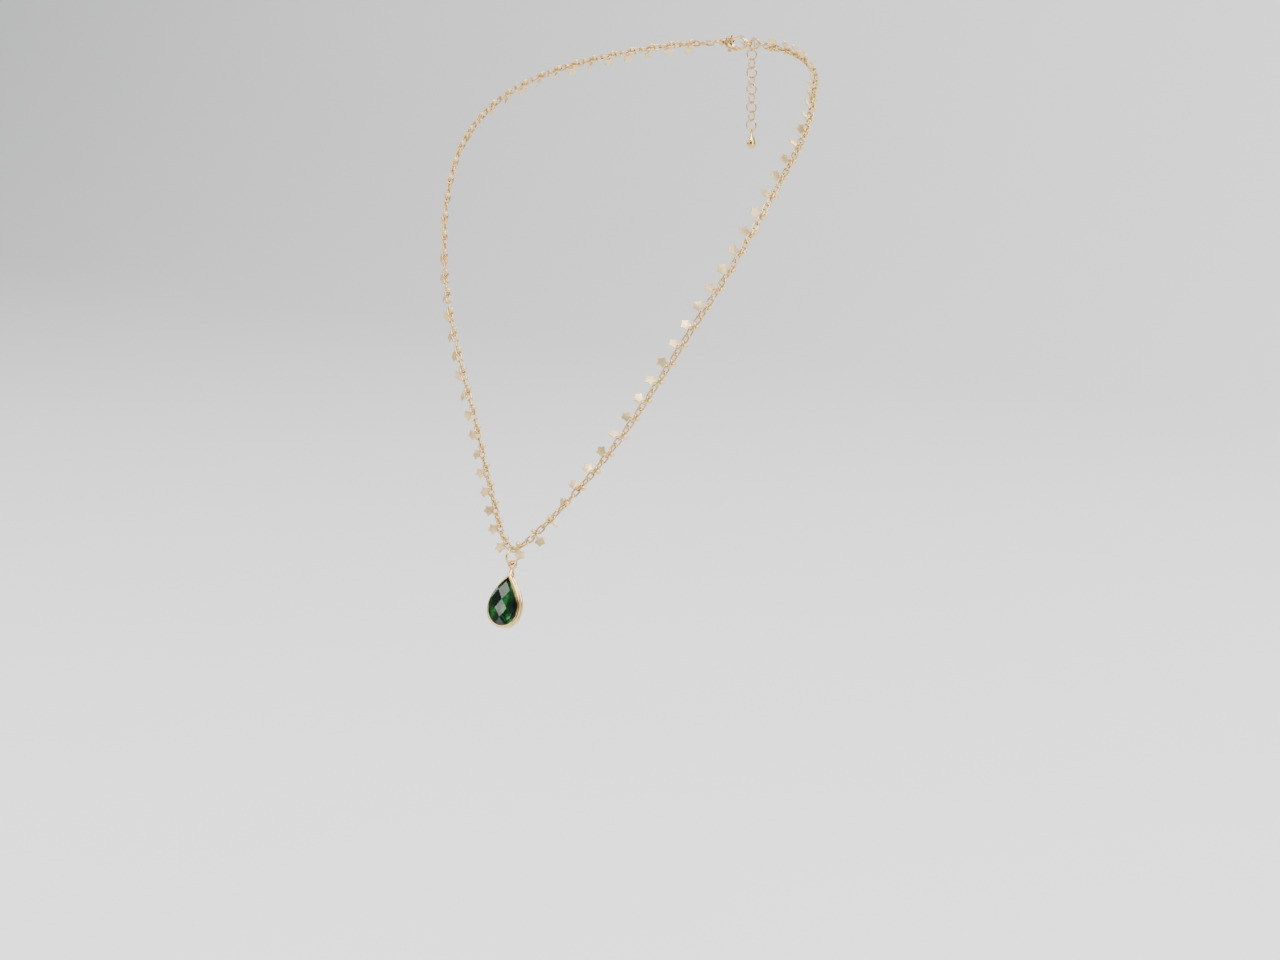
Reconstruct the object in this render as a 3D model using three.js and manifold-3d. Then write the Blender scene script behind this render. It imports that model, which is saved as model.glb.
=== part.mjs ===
// Pendant necklace as it is worn: a V of cable chain with star-headed pins, a faceted pear
// drop on a jump ring, and a lobster clasp with an extender behind the neck.
// Millimetres, +Z up, the wearer's front towards -Y. The origin is at the nape of the neck.
import * as THREE from 'three';
import { ConvexGeometry } from 'three/addons/geometries/ConvexGeometry.js';
import { mergeVertices } from 'three/addons/utils/BufferGeometryUtils.js';
import Module from 'manifold-3d';

const wasm = await Module();
wasm.setup();

// ---------------------------------------------------------------- driving dimensions

const LINK_PITCH = 2.14;
const LINK_WIDTH = 2.0;
const WIRE = 0.56;
const LINK_ROLL = Math.PI / 3;
const LINKS_PER_CHARM = 3;
const LINK_WAIST = 0.2;
const NODE_GAP = 0.3;
const JOINT_GAP = 0.5;
const NAPE_HALF_LENGTH = 10.3;
const CENTRE_HOLE_LENGTH = 1.1;
const CENTRE_HOLE_HEIGHT = 1.3;

// Right half of the route, from the bottom of the V round to the nape; the left mirrors it.
const DRAPE = [
  [3.2, -129.6, -135.4],
  [14.2, -121.2, -121.8],
  [24.4, -113.1, -106.4],
  [33.8, -107.2, -89.9],
  [42.2, -101.3, -73.7],
  [49.4, -93.3, -58],
  [54.7, -84, -42.7],
  [57.4, -72, -28.4],
  [56, -56.9, -17.4],
  [49, -40.5, -9.6],
  [37.2, -19.8, -4.5],
  [20, -4.5, -1.2],
];
const V_BOTTOM = new THREE.Vector3(0, -130.6, -137);
const NAPE = new THREE.Vector3(0, 0, 0);
const NECK_AXIS_Y = -58;
const CHEST_RISE = 0.5;

// Links counted from the centre link; a section ends at the last link of each entry.
const SECTIONS = [
  { name: 'lower_a', first: 1, last: 10 },
  { name: 'lower_b', first: 11, last: 21 },
  { name: 'middle_a', first: 22, last: 33 },
  { name: 'middle_b', first: 34, last: 44 },
  { name: 'upper_a', first: 45, last: 56 },
  { name: 'upper_b', first: 57, last: 68 },
  { name: 'nape_a', first: 69, last: 81 },
  { name: 'nape_b', first: 82, last: 94 },
  { name: 'nape_c', first: 95, last: Infinity },
];
const JOINTED_AFTER = [0, 21, 44, 68];

const CHARMS_PER_SIDE = 12;
const FIRST_CHARM_LINK = { right: 1, left: 2 };
const CHARM_DROOP = THREE.MathUtils.degToRad(20);
const DROOP_SPREAD = 0.25;
const CHARM_SPIN = THREE.MathUtils.degToRad(24);
const LEFT_SPIN = THREE.MathUtils.degToRad(-28);
const CHARM_SPIN_STEP = 2.4;
const PIN_RADIUS = 0.22;
const PIN_HOLE = 1.0;
const BEAD_RADIUS = 0.7;
const BEAD_OFFSET = 1.05;
const STAR_OFFSET = 2.4;
const STAR_RADIUS = 1.85;
const STAR_WAIST = 1.18;
const STAR_THICKNESS = 0.5;
const PIN_SEGMENTS = 8;
const BEAD_RINGS = 6;
const TWIST_FROM_LINK = 14.5;
const TWIST_LINKS = 14;

const PENDANT_TILT = THREE.MathUtils.degToRad(19);
const RING_RADIUS = 2.3;
const RING_WIRE = 0.36;
const RING_DROP = 2.2;
const RING_YAW = THREE.MathUtils.degToRad(14);
const LOOP_REACH = 0.15;
const LOOP_DROP = RING_DROP + RING_RADIUS + LOOP_REACH;
const LOOP_HOLE = 0.9;
const LOOP_RADIUS = 1.4;
const LOOP_DEPTH = 1.1;
const LOOP_SEGMENTS = 18;
const RING_SEGMENTS = 20;
const WIRE_SEGMENTS = 8;
const FOOT_TOP = 0.5;
const FOOT_BASE = 1.1;
const BEZEL_WIDTH = 11.2;
const BEZEL_HEIGHT = 16.4;
const PEAR_TIP_ANGLE = THREE.MathUtils.degToRad(34);
const PEAR_TIP_REACH = 0.8;
const PEAR_SHOULDER = 0.9;
const TIP_SHRINK = 2.8;
const BEZEL_TOP_DROP = 2.4;
const BEZEL_DEPTH = 2.3;
const BEZEL_WALL = 0.55;
const BEZEL_LIP = 0.45;
const LIP_THICKNESS = 0.5;
const BACK_THICKNESS = 0.5;
const SEAT_GAP = 0.08;
const FOIL_THICKNESS = 0.15;
const STONE_RISE = 1.1;
const PEAR_SEGMENTS = 14;
const STONE_SEGMENTS = 7;
const STONE_LEVELS = [
  { inset: 2.6, z: 0.85 },
  { inset: 0.7, z: 1.1 },
  { inset: 0.7, z: 1.45 },
  { inset: 1.6, z: 2.35 },
  { inset: 3.3, z: BEZEL_DEPTH + STONE_RISE },
];

const CLASP_X = -1.65;
const CLASP_HOOK_X = 4.35;
const CLASP_THICKNESS = 1.6;
const CLAW = { x: 0, halfLength: 4.2, halfHeight: 2.6 };
const THROAT = { x: 1.15, halfLength: 2.2, halfHeight: 1.45 };
const MOUTH = { x: -0.15, y: 1.8, width: 3.1, height: 2.2 };
const CLASP_EYE = new THREE.Vector2(-5, 0);
const EYE_RADIUS = 1.15;
const EYE_HOLE_RADIUS = 0.6;
const CLASP_RIVET = new THREE.Vector2(-2.55, 0.75);
const RIVET_RADIUS = 0.32;
const CHEEK_RADIUS = 1.0;
const UPPER_SLOT = { x: -1.3, y: 1.8, width: 4.9, height: 3.6 };
const LOWER_SLOT = { x: -2.45, y: -1.7, width: 2.6, height: 3.8 };
const SPRING_LEAF = { x: -3.64, y: -0.2, width: 0.12, height: 1.5 };
const CLASP_SEGMENTS = 12;
const TRIGGER_THICKNESS = 0.8;
const TRIGGER_SLOT = 1.1;
const TRIGGER_OUTLINE = [
  [-3.3, 0.9], [-2.9, 1.5], [-2.0, 1.75], [0.2, 2.15], [1.15, 2.1], [1.15, 1.7], [0.2, 1.65],
  [-1.5, 1.1], [-1.85, 0.3], [-2.1, -1.8], [-1.9, -3.1], [-2.9, -3.1], [-2.9, -1.8], [-3.2, 0],
];
const END_RING_RADIUS = 1.9;
const END_RING_WIRE = 0.3;
const END_RING_OVERLAP = 0.25;
const EXTENDER_RADIUS = 1.6;
const EXTENDER_WIRE = 0.35;
const TAIL_RINGS = 5;
const TAIL_PITCH = 2.85;
const TAIL_JOINT_PITCH = 2.4;
const TAIL_OFFSET = new THREE.Vector3(0.35, 1.9, -0.8);
const DROP_PROFILE = [[0, 0], [0.45, -0.5], [1.5, -3.6], [1.05, -4.8], [0, -5.3]];
const DROP_SEGMENTS = 10;
const SMALL_WIRE_SEGMENTS = 6;
const SMALL_RING_SEGMENTS = 12;

// ---------------------------------------------------------------- materials

const finish = (color, roughness, metalness) =>
  new THREE.MeshStandardMaterial({ color, roughness, metalness });
const chainGold = finish(0xd9b383, 0.3, 1);
const starGold = finish(0xe6c79a, 0.35, 1);
const bezelGold = finish(0xdcb47c, 0.22, 1);
const foilSilver = finish(0x5f6f64, 0.3, 1);
const greenGlass = finish(0x0f4a28, 0.05, 0);
const springSteel = finish(0xb8b8b4, 0.35, 1);

const necklace = new THREE.Group();

function addPiece(name, geometry, material, parent = necklace) {
  const piece = new THREE.Mesh(geometry, material);
  piece.name = name;
  parent.add(piece);
  return piece;
}

// ---------------------------------------------------------------- solids

function toSolid(geometry) {
  const bare = geometry.index ? geometry.clone() : geometry;
  bare.deleteAttribute('normal');
  bare.deleteAttribute('uv');
  const merged = mergeVertices(bare, 1e-4);
  return new wasm.Manifold(new wasm.Mesh({
    numProp: 3,
    vertProperties: new Float32Array(merged.attributes.position.array),
    triVerts: new Uint32Array(merged.index.array),
  }));
}

function fromSolid(solid) {
  const mesh = solid.getMesh();
  const geometry = new THREE.BufferGeometry();
  geometry.setAttribute('position', new THREE.Float32BufferAttribute(mesh.vertProperties, 3));
  geometry.setIndex(Array.from(mesh.triVerts));
  geometry.computeVertexNormals();
  return geometry;
}

function joined(geometries) {
  return fromSolid(geometries.map(toSolid).reduce((whole, solid) => whole.add(solid)));
}

function cut(body, tools) {
  return fromSolid(tools.map(toSolid).reduce((whole, tool) => whole.subtract(tool), toSolid(body)));
}

function frameMatrix(origin, xAxis, zAxis) {
  const yAxis = new THREE.Vector3().crossVectors(zAxis, xAxis).normalize();
  const depth = new THREE.Vector3().crossVectors(xAxis, yAxis);
  return new THREE.Matrix4().makeBasis(xAxis, yAxis, depth).setPosition(origin);
}

function extruded(shape, depth, from = 0, curveSegments = 6) {
  const geometry = new THREE.ExtrudeGeometry(shape, { depth, bevelEnabled: false, curveSegments });
  return geometry.translate(0, 0, from);
}

// ---------------------------------------------------------------- the route of the chain

const mirrored = ([x, y, z]) => new THREE.Vector3(-x, y, z);
const route = new THREE.CatmullRomCurve3([
  NAPE,
  ...DRAPE.toReversed().map(mirrored),
  V_BOTTOM,
  ...DRAPE.map((point) => new THREE.Vector3(...point)),
  NAPE.clone(),
], false, 'centripetal');
route.arcLengthDivisions = 4000;
const routeLength = route.getLength();

const sideName = (side) => (side > 0 ? 'right' : 'left');

// Where the chain passes, counted in links from the centre link; side is +1 for +X.
function routePoint(links, side) {
  return route.getPointAt(0.5 + side * links * LINK_PITCH / routeLength);
}

// The direction that faces away from the wearer at a point of the chain.
function outward(point) {
  return new THREE.Vector3(point.x, point.y - NECK_AXIS_Y, 0).normalize()
    .add(new THREE.Vector3(0, 0, CHEST_RISE)).normalize();
}

// How far the right-hand chain has rolled over near the pendant, in radians.
function twist(links, side) {
  const turned = (TWIST_FROM_LINK - links) / TWIST_LINKS;
  return side > 0 ? -Math.PI * THREE.MathUtils.smoothstep(turned, 0, 1) : 0;
}

// Place, direction along the chain, and the direction of a pin through this link.
function linkFrame(links, side) {
  const start = routePoint(links - 0.5, side);
  const end = routePoint(links + 0.5, side);
  const along = end.clone().sub(start);
  const length = along.length();
  along.normalize();
  const centre = start.add(end).multiplyScalar(0.5);
  const face = outward(centre);
  const pin = new THREE.Vector3().crossVectors(along, face).multiplyScalar(-1).normalize();
  pin.applyAxisAngle(along, twist(links, side));
  const roll = (links - FIRST_CHARM_LINK[sideName(side)]) * LINK_ROLL;
  const flat = pin.clone().applyAxisAngle(along, roll);
  return { centre, along, length, pin, flat, face };
}

function hasCharm(links, side) {
  const past = links - FIRST_CHARM_LINK[sideName(side)];
  return past % LINKS_PER_CHARM === 0 && past < CHARMS_PER_SIDE * LINKS_PER_CHARM;
}

// The four corners of a link's flat cross-section at one place along its length.
function crossSection({ centre, along, flat }, shift) {
  const across = new THREE.Vector3().crossVectors(flat, along).normalize();
  const middle = centre.clone().addScaledVector(along, shift);
  return [[1, 1], [-1, 1], [-1, -1], [1, -1]].map(([wide, thick]) =>
    middle.clone()
      .addScaledVector(across, wide * LINK_WIDTH / 2)
      .addScaledVector(flat, thick * WIRE / 2));
}

// A closed skin over rings of four points, each ring joined to the next. Each side is split along
// the diagonal that bulges outwards, because the links turn clockwise along the chain.
function skinned(rings) {
  const sides = rings[0].length;
  const indices = [0, 2, 1, 0, 3, 2];
  for (let ring = 1; ring < rings.length; ring += 1) {
    for (let side = 0; side < sides; side += 1) {
      const next = (side + 1) % sides;
      const low = (ring - 1) * sides;
      const high = ring * sides;
      indices.push(low + side, low + next, high + side);
      indices.push(low + next, high + next, high + side);
    }
  }
  const top = (rings.length - 1) * sides;
  indices.push(top, top + 1, top + 2, top, top + 2, top + 3);
  const geometry = new THREE.BufferGeometry();
  const positions = rings.flat().flatMap((point) => point.toArray());
  geometry.setAttribute('position', new THREE.Float32BufferAttribute(positions, 3));
  geometry.setIndex(indices);
  return geometry;
}

function pinSlot({ centre, along, flat }) {
  const slot = new THREE.BoxGeometry(PIN_HOLE, PIN_HOLE, WIRE * 3);
  return slot.applyMatrix4(frameMatrix(centre, along, flat));
}

function chainSection({ name, first, last }, side, lastLink) {
  const end = Math.min(last, lastLink);
  const startGap = JOINTED_AFTER.includes(first - 1) ? JOINT_GAP : NODE_GAP;
  const endGap = JOINTED_AFTER.includes(end) ? JOINT_GAP : NODE_GAP;
  const rings = [];
  const slots = [];
  for (let links = first; links <= end; links += 1) {
    const frame = linkFrame(links, side);
    const startTrim = links === first ? startGap / 2 : LINK_WAIST;
    const endTrim = links === end ? endGap / 2 : LINK_WAIST;
    rings.push(crossSection(frame, startTrim - frame.length / 2));
    rings.push(crossSection(frame, frame.length / 2 - endTrim));
    if (hasCharm(links, side)) slots.push(pinSlot(frame));
  }
  const bar = skinned(rings);
  const label = `chain_${sideName(side)}_${name}`;
  addPiece(label, slots.length ? cut(bar, slots) : bar, chainGold);
}

// The link at the bottom of the V stands upright, so that the jump ring passes through it.
function addCentreLink() {
  const plate = new THREE.BoxGeometry(LINK_PITCH - NODE_GAP, WIRE, LINK_WIDTH);
  const opening = new THREE.BoxGeometry(CENTRE_HOLE_LENGTH, WIRE * 3, CENTRE_HOLE_HEIGHT);
  addPiece('chain_centre_link', cut(plate, [opening]), chainGold).position.copy(V_BOTTOM);
}

// ---------------------------------------------------------------- star-headed pins

function starShape() {
  const shape = new THREE.Shape();
  const corners = 10;
  for (let i = 0; i < corners; i += 1) {
    const radius = i % 2 ? STAR_WAIST : STAR_RADIUS;
    const angle = 2 * Math.PI * i / corners - Math.PI / 2;
    const point = [radius * Math.cos(angle), radius * Math.sin(angle)];
    if (i) shape.lineTo(...point);
    else shape.moveTo(...point);
  }
  return shape.closePath();
}

// Along its own +Y: bead, stem through the link at 0, then the star standing on one point.
function charmGeometry() {
  const starFoot = STAR_OFFSET - STAR_RADIUS;
  const stemLength = BEAD_OFFSET + starFoot + STAR_WAIST;
  return joined([
    new THREE.CylinderGeometry(PIN_RADIUS, PIN_RADIUS, stemLength, PIN_SEGMENTS)
      .translate(0, stemLength / 2 - BEAD_OFFSET, 0),
    new THREE.SphereGeometry(BEAD_RADIUS, PIN_SEGMENTS, BEAD_RINGS).translate(0, -BEAD_OFFSET, 0),
    extruded(starShape(), STAR_THICKNESS, -STAR_THICKNESS / 2).translate(0, STAR_OFFSET, 0),
  ]);
}

function addCharm(number, side, geometry) {
  const links = (number - 1) * LINKS_PER_CHARM + FIRST_CHARM_LINK[sideName(side)];
  const { centre, along, pin, face } = linkFrame(links, side);
  const droop = CHARM_DROOP * (1 - DROOP_SPREAD + DROOP_SPREAD * Math.cos(twist(links, side)));
  const stem = pin.clone().multiplyScalar(Math.cos(droop))
    .addScaledVector(along, -Math.sin(droop));
  const broad = new THREE.Vector3().crossVectors(stem, face).normalize();
  const spin = CHARM_SPIN * Math.sin(number * CHARM_SPIN_STEP + side) + (side > 0 ? 0 : LEFT_SPIN);
  broad.applyAxisAngle(stem, spin);
  const label = `${sideName(side)}_${String(number).padStart(2, '0')}`;
  const charm = addPiece(`star_pin_${label}`, geometry, starGold);
  const basis = new THREE.Matrix4().makeBasis(
    broad, stem, new THREE.Vector3().crossVectors(broad, stem));
  charm.quaternion.setFromRotationMatrix(basis);
  charm.position.copy(centre);
}

// ---------------------------------------------------------------- pendant

// Pear outline, point up, with its round end centred on the origin.
function pearShape(width, height) {
  const radius = width / 2;
  const tip = height - radius;
  const slope = radius * PEAR_TIP_REACH;
  const shoulder = radius * PEAR_SHOULDER;
  const lean = [slope * Math.sin(PEAR_TIP_ANGLE), tip - slope * Math.cos(PEAR_TIP_ANGLE)];
  const shape = new THREE.Shape();
  shape.moveTo(0, tip);
  shape.bezierCurveTo(...lean, radius, shoulder, radius, 0);
  shape.absarc(0, 0, radius, 0, -Math.PI, true);
  shape.bezierCurveTo(-radius, shoulder, -lean[0], lean[1], 0, tip);
  return shape;
}

const pearInside = (inset) => pearShape(BEZEL_WIDTH - 2 * inset, BEZEL_HEIGHT - TIP_SHRINK * inset);

function stoneGeometry() {
  const points = STONE_LEVELS.flatMap(({ inset, z }) =>
    pearInside(inset).getPoints(STONE_SEGMENTS).map((point) => new THREE.Vector3(point.x, point.y, z)));
  return new ConvexGeometry(points);
}

// A short tube whose axis is +Z.
function bandRing(inner, outer, depth) {
  const profile = [[inner, -1], [outer, -1], [outer, 1], [inner, 1], [inner, -1]];
  const points = profile.map(([radius, end]) => new THREE.Vector2(radius, end * depth / 2));
  return new THREE.LatheGeometry(points, LOOP_SEGMENTS).rotateX(Math.PI / 2);
}

function addPendant() {
  const ring = new THREE.TorusGeometry(RING_RADIUS, RING_WIRE, WIRE_SEGMENTS, RING_SEGMENTS)
    .rotateY(Math.PI / 2).rotateZ(-RING_YAW);
  addPiece('pendant_jump_ring', ring.translate(0, 0, -RING_DROP), bezelGold)
    .position.copy(V_BOTTOM);

  const hang = new THREE.Group();
  hang.position.copy(V_BOTTOM).z -= LOOP_DROP;
  hang.rotation.x = Math.PI / 2 - PENDANT_TILT;
  necklace.add(hang);
  const pendant = new THREE.Group();
  const pearCentre = BEZEL_TOP_DROP + BEZEL_HEIGHT - BEZEL_WIDTH / 2;
  pendant.position.set(0, -pearCentre, -BEZEL_DEPTH / 2);
  hang.add(pendant);
  const loop = bandRing(LOOP_HOLE, LOOP_RADIUS, LOOP_DEPTH)
    .translate(0, pearCentre, BEZEL_DEPTH / 2);
  const bezelTop = pearCentre - BEZEL_TOP_DROP;
  const footTop = pearCentre - (LOOP_HOLE + LOOP_RADIUS) / 2;
  const footBase = bezelTop + SEAT_GAP;
  const foot = new THREE.CylinderGeometry(FOOT_TOP, FOOT_BASE, footTop - footBase, WIRE_SEGMENTS)
    .translate(0, (footTop + footBase) / 2, BEZEL_DEPTH / 2);
  addPiece('bail_loop', joined([loop, foot]), bezelGold, pendant);

  const outline = (inset, depth, from) => extruded(pearInside(inset), depth, from, PEAR_SEGMENTS);
  const cavityDepth = BEZEL_DEPTH - LIP_THICKNESS;
  const wall = cut(outline(0, BEZEL_DEPTH, 0), [
    outline(BEZEL_WALL, cavityDepth + 1, -1),
    outline(BEZEL_WALL + BEZEL_LIP, BEZEL_DEPTH + 2, -1),
  ]);
  addPiece('bezel_wall', wall, bezelGold, pendant);
  addPiece('bezel_back_plate',
    outline(BEZEL_WALL + SEAT_GAP, BACK_THICKNESS, 0), bezelGold, pendant);
  addPiece('stone_foil',
    outline(BEZEL_WALL + 4 * SEAT_GAP, FOIL_THICKNESS, BACK_THICKNESS + SEAT_GAP),
    foilSilver, pendant);
  addPiece('pear_stone', stoneGeometry(), greenGlass, pendant);
}

// ---------------------------------------------------------------- clasp and extender

function ellipse({ x, halfLength, halfHeight }) {
  return new THREE.Shape().absellipse(x, 0, halfLength, halfHeight, 0, 2 * Math.PI, false, 0);
}

function cylinderAcross(centre, radius, length) {
  return new THREE.CylinderGeometry(radius, radius, length, CLASP_SEGMENTS)
    .rotateX(Math.PI / 2).translate(centre.x, centre.y, 0);
}

function boxAcross({ x, y, width, height }, length) {
  return new THREE.BoxGeometry(width, height, length).translate(x, y, 0);
}

// A lobster claw flat in its own XY plane: eye at -X, throat towards +X, mouth on +Y and the
// trigger's thumb lever on -Y.
function addClasp(clasp) {
  const half = CLASP_THICKNESS / 2;
  const through = CLASP_THICKNESS * 2;
  const blank = joined([
    extruded(ellipse(CLAW), CLASP_THICKNESS, -half),
    cylinderAcross(CLASP_EYE, EYE_RADIUS, CLASP_THICKNESS),
  ]);
  const open = cut(blank, [
    extruded(ellipse(THROAT), through, -CLASP_THICKNESS),
    boxAcross(MOUTH, through),
  ]);
  const cheeked = joined([open, cylinderAcross(CLASP_RIVET, CHEEK_RADIUS, CLASP_THICKNESS)]);
  const body = cut(cheeked, [
    boxAcross(UPPER_SLOT, TRIGGER_SLOT),
    boxAcross(LOWER_SLOT, TRIGGER_SLOT),
    cylinderAcross(CLASP_EYE, EYE_HOLE_RADIUS, through),
    cylinderAcross(CLASP_RIVET, RIVET_RADIUS + SEAT_GAP, through),
  ]);
  addPiece('clasp_body', body, bezelGold, clasp);

  const gate = new THREE.Shape(TRIGGER_OUTLINE.map((point) => new THREE.Vector2(...point)));
  const trigger = cut(extruded(gate, TRIGGER_THICKNESS, -TRIGGER_THICKNESS / 2),
    [cylinderAcross(CLASP_RIVET, RIVET_RADIUS + SEAT_GAP, CLASP_THICKNESS)]);
  addPiece('clasp_trigger', trigger, bezelGold, clasp);
  addPiece('clasp_rivet',
    cylinderAcross(CLASP_RIVET, RIVET_RADIUS, CLASP_THICKNESS), bezelGold, clasp);
  addPiece('clasp_spring', boxAcross(SPRING_LEAF, TRIGGER_THICKNESS), springSteel, clasp);
}

const lyingRing = (radius, wire) =>
  new THREE.TorusGeometry(radius, wire, SMALL_WIRE_SEGMENTS, SMALL_RING_SEGMENTS);
const standingRing = (radius, wire) => lyingRing(radius, wire).rotateX(Math.PI / 2);
const sidewaysRing = (radius, wire) => lyingRing(radius, wire).rotateY(Math.PI / 2);

// Rings of the extender that hang from the hooked one, every other ring turned edge-on.
function tailLength(firstRing, rings) {
  const parts = [];
  for (let ring = firstRing; ring < firstRing + rings; ring += 1) {
    const turned = ring % 2 ? standingRing : sidewaysRing;
    parts.push(turned(EXTENDER_RADIUS, EXTENDER_WIRE).translate(0, 0, -ring * TAIL_PITCH));
  }
  return joined(parts);
}

function addNape() {
  const clasp = new THREE.Group();
  clasp.position.x = CLASP_X;
  clasp.rotation.x = Math.PI / 2;
  necklace.add(clasp);
  addClasp(clasp);
  const hookedX = CLASP_X + CLASP_HOOK_X;
  const nextX = hookedX + 2 * (EXTENDER_RADIUS - EXTENDER_WIRE);
  const endX = nextX + EXTENDER_RADIUS + END_RING_RADIUS - EXTENDER_WIRE - END_RING_WIRE;
  const leftX = CLASP_X + CLASP_EYE.x - END_RING_RADIUS + END_RING_OVERLAP;
  const ringAt = (name, geometry, x) =>
    addPiece(name, geometry, chainGold).position.set(x, 0, 0);
  ringAt('left_end_ring', lyingRing(END_RING_RADIUS, END_RING_WIRE), leftX);
  ringAt('extender_link_1', lyingRing(EXTENDER_RADIUS, EXTENDER_WIRE), hookedX);
  ringAt('extender_link_2', standingRing(EXTENDER_RADIUS, EXTENDER_WIRE), nextX);
  ringAt('right_end_ring', lyingRing(END_RING_RADIUS, END_RING_WIRE), endX);

  const tail = new THREE.Group();
  tail.position.set(hookedX + TAIL_OFFSET.x, TAIL_OFFSET.y, TAIL_OFFSET.z);
  necklace.add(tail);
  addPiece('extender_tail_upper', tailLength(0, TAIL_RINGS), chainGold, tail);
  const lower = addPiece('extender_tail_lower', tailLength(TAIL_RINGS, TAIL_RINGS), chainGold, tail);
  lower.position.z = TAIL_PITCH - TAIL_JOINT_PITCH;
  const dropZ = lower.position.z - (2 * TAIL_RINGS - 1) * TAIL_PITCH;
  const dropPoints = DROP_PROFILE.toReversed().map(([radius, z]) => new THREE.Vector2(radius, z));
  const drop = new THREE.LatheGeometry(dropPoints, DROP_SEGMENTS).rotateX(Math.PI / 2);
  addPiece('extender_drop', drop, bezelGold, tail).position.z =
    dropZ - EXTENDER_RADIUS - EXTENDER_WIRE - NODE_GAP;
}

// ---------------------------------------------------------------- assembly

const lastLink = Math.floor((routeLength / 2 - NAPE_HALF_LENGTH) / LINK_PITCH - 0.5);
for (const side of [1, -1]) {
  for (const section of SECTIONS) chainSection(section, side, lastLink);
}
addCentreLink();

const charmSolid = charmGeometry();
for (const side of [1, -1]) {
  for (let number = 1; number <= CHARMS_PER_SIDE; number += 1) addCharm(number, side, charmSolid);
}
addPendant();
addNape();

export default necklace;
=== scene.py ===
"""Pendant necklace: interlocked cable links, star-headed pins, a faceted green pear drop and a
lobster clasp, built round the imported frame. Shapes are worked out in millimetres and written in
metres, and every piece rides on the body that carries it."""

import math

import bmesh
import bpy
from mathutils import Matrix, Vector


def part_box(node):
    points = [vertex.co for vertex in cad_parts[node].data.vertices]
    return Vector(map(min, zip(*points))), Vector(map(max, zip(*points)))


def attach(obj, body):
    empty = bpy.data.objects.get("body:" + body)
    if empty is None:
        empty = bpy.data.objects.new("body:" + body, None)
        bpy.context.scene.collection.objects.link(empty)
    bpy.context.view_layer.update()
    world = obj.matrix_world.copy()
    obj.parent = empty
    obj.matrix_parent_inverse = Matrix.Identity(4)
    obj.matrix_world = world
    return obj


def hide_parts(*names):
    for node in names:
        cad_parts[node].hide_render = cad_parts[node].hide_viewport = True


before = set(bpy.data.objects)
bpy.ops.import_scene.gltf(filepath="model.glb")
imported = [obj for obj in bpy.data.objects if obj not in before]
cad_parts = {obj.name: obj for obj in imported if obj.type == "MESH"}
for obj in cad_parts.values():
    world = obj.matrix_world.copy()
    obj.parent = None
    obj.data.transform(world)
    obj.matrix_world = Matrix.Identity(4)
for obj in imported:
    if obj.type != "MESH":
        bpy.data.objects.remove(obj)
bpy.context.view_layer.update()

# ------------------------------------------------------------------ sizes, in millimetres

MM = 0.001
LINK_PITCH = 2.14
LINK_LENGTH = 3.36
LINK_WIDTH = 2.06
LINK_WIRE = 0.58
LINK_BULGE = 0.06
LINK_ROLL = math.pi / 3
LINK_SLACK = math.radians(5)
SLACK_STEP = 1.7

# The centre link and the links beside the lower two lift hinges have thinner wire, so that they
# have more room to turn in their neighbours.
SLIM_WIRE = 0.5
HINGE_LINKS = (21, 22, 44, 45)

LINKS_PER_CHARM = 3
FIRST_CHARM_LINK = {"right": 1, "left": 2}
LAST_LINK = 109
CHARM_NODES = 12

# Right half of the chain's route, from the bottom of the V to the nape; the left mirrors it.
DRAPE = [
    (3.2, -129.6, -135.4),
    (14.2, -121.2, -121.8),
    (24.4, -113.1, -106.4),
    (33.8, -107.2, -89.9),
    (42.2, -101.3, -73.7),
    (49.4, -93.3, -58),
    (54.7, -84, -42.7),
    (57.4, -72, -28.4),
    (56, -56.9, -17.4),
    (49, -40.5, -9.6),
    (37.2, -19.8, -4.5),
    (20, -4.5, -1.2),
]
V_BOTTOM = Vector((0, -130.6, -137))
NECK_AXIS_Y = -58
CHEST_RISE = 0.5

# Name of each stretch of the chain, the body that carries it, and its last link, from the V.
SECTIONS = (
    ("lower_a", "lower_drape", 10),
    ("lower_b", "lower_drape", 21),
    ("middle_a", "middle_drape", 33),
    ("middle_b", "middle_drape", 44),
    ("upper_a", "upper_drape", 56),
    ("upper_b", "upper_drape", 68),
    ("nape_a", "nape_chain", 81),
    ("nape_b", "nape_chain", 94),
    ("nape_c", "nape_chain", LAST_LINK),
)

CHARM_DROOP = math.radians(20)
DROOP_SPREAD = 0.25
CHARM_SPIN = math.radians(24)
LEFT_SPIN = math.radians(-28)
CHARM_SPIN_STEP = 2.4
PIN_RADIUS = 0.22
BEAD_RADIUS = 0.8
BEAD_OFFSET = 1.05
STAR_OFFSET = 2.4
STAR_RADIUS = 1.85
STAR_WAIST = 1.18
STAR_THICKNESS = 0.5
STAR_BEVEL = 0.09
STAR_TIP_SOFT = 0.3
STAR_WAIST_SOFT = 0.2
STEM_FLARE = 1.15
STEM_FLARE_RISE = 0.2
STEM_TAPER = 0.9
STEM_TIP = 0.05
BEAD_STEPS = 14
TWIST_FROM_LINK = 14.5
TWIST_LINKS = 14

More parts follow.
